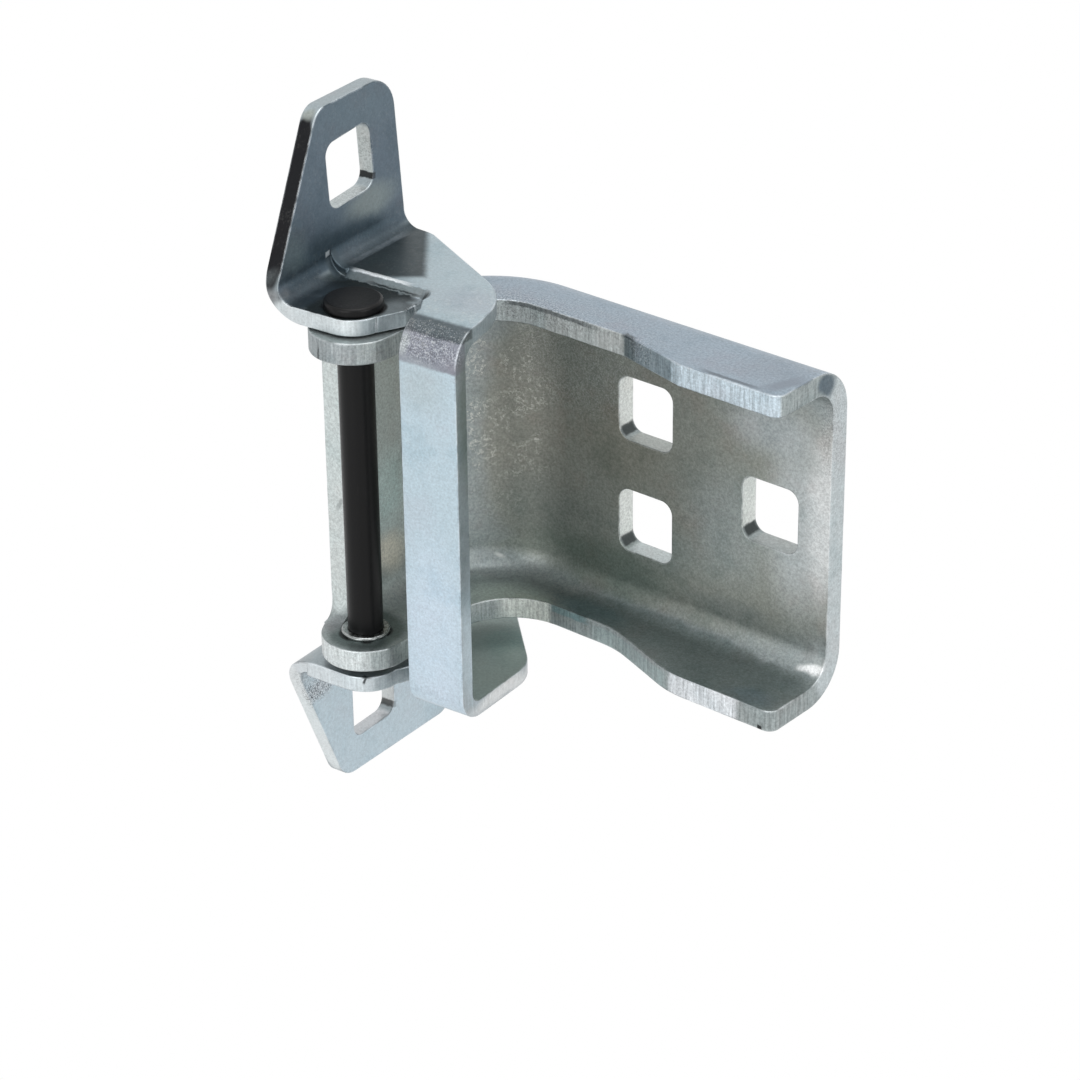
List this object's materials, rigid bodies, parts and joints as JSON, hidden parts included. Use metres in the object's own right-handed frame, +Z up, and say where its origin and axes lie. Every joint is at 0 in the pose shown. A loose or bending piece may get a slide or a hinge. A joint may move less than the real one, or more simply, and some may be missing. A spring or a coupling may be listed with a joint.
{
  "type": "truck door hinge",
  "caption": "Heavy folded-plate door hinge: a J-shaped channel leaf and a two-tab leaf that swing about one upright pin in flanged bushes.",
  "frame": {"origin": "middle of the three bolt holes on the outer face of the channel leaf's web", "axes": "+Z up along the hinge pin, +Y out of the channel leaf's mounting face, +X along the web away from the pin"},
  "size_m": [0.1454, 0.0776, 0.2097],
  "materials": {
    "zinc_channel": "zinc plated, mottled satin",
    "zinc_tab": "blue zinc plated, satin",
    "black_pin": "black, satin",
    "bush_steel": "bright turned steel"
  },
  "bodies": {
    "channel": {"channel_leaf": "zinc_channel", "upper_bush": "bush_steel", "lower_bush": "bush_steel"},
    "tab": {"tab_leaf": "zinc_tab", "hinge_pin": "black_pin"}
  },
  "joints": [
    {"name": "door_swing", "type": "hinge", "parent": "channel", "child": "tab", "pos_m": [-0.07445, -0.0651, 0], "axis": [0, 0, 1], "range_deg": [-110, 40]}
  ]
}
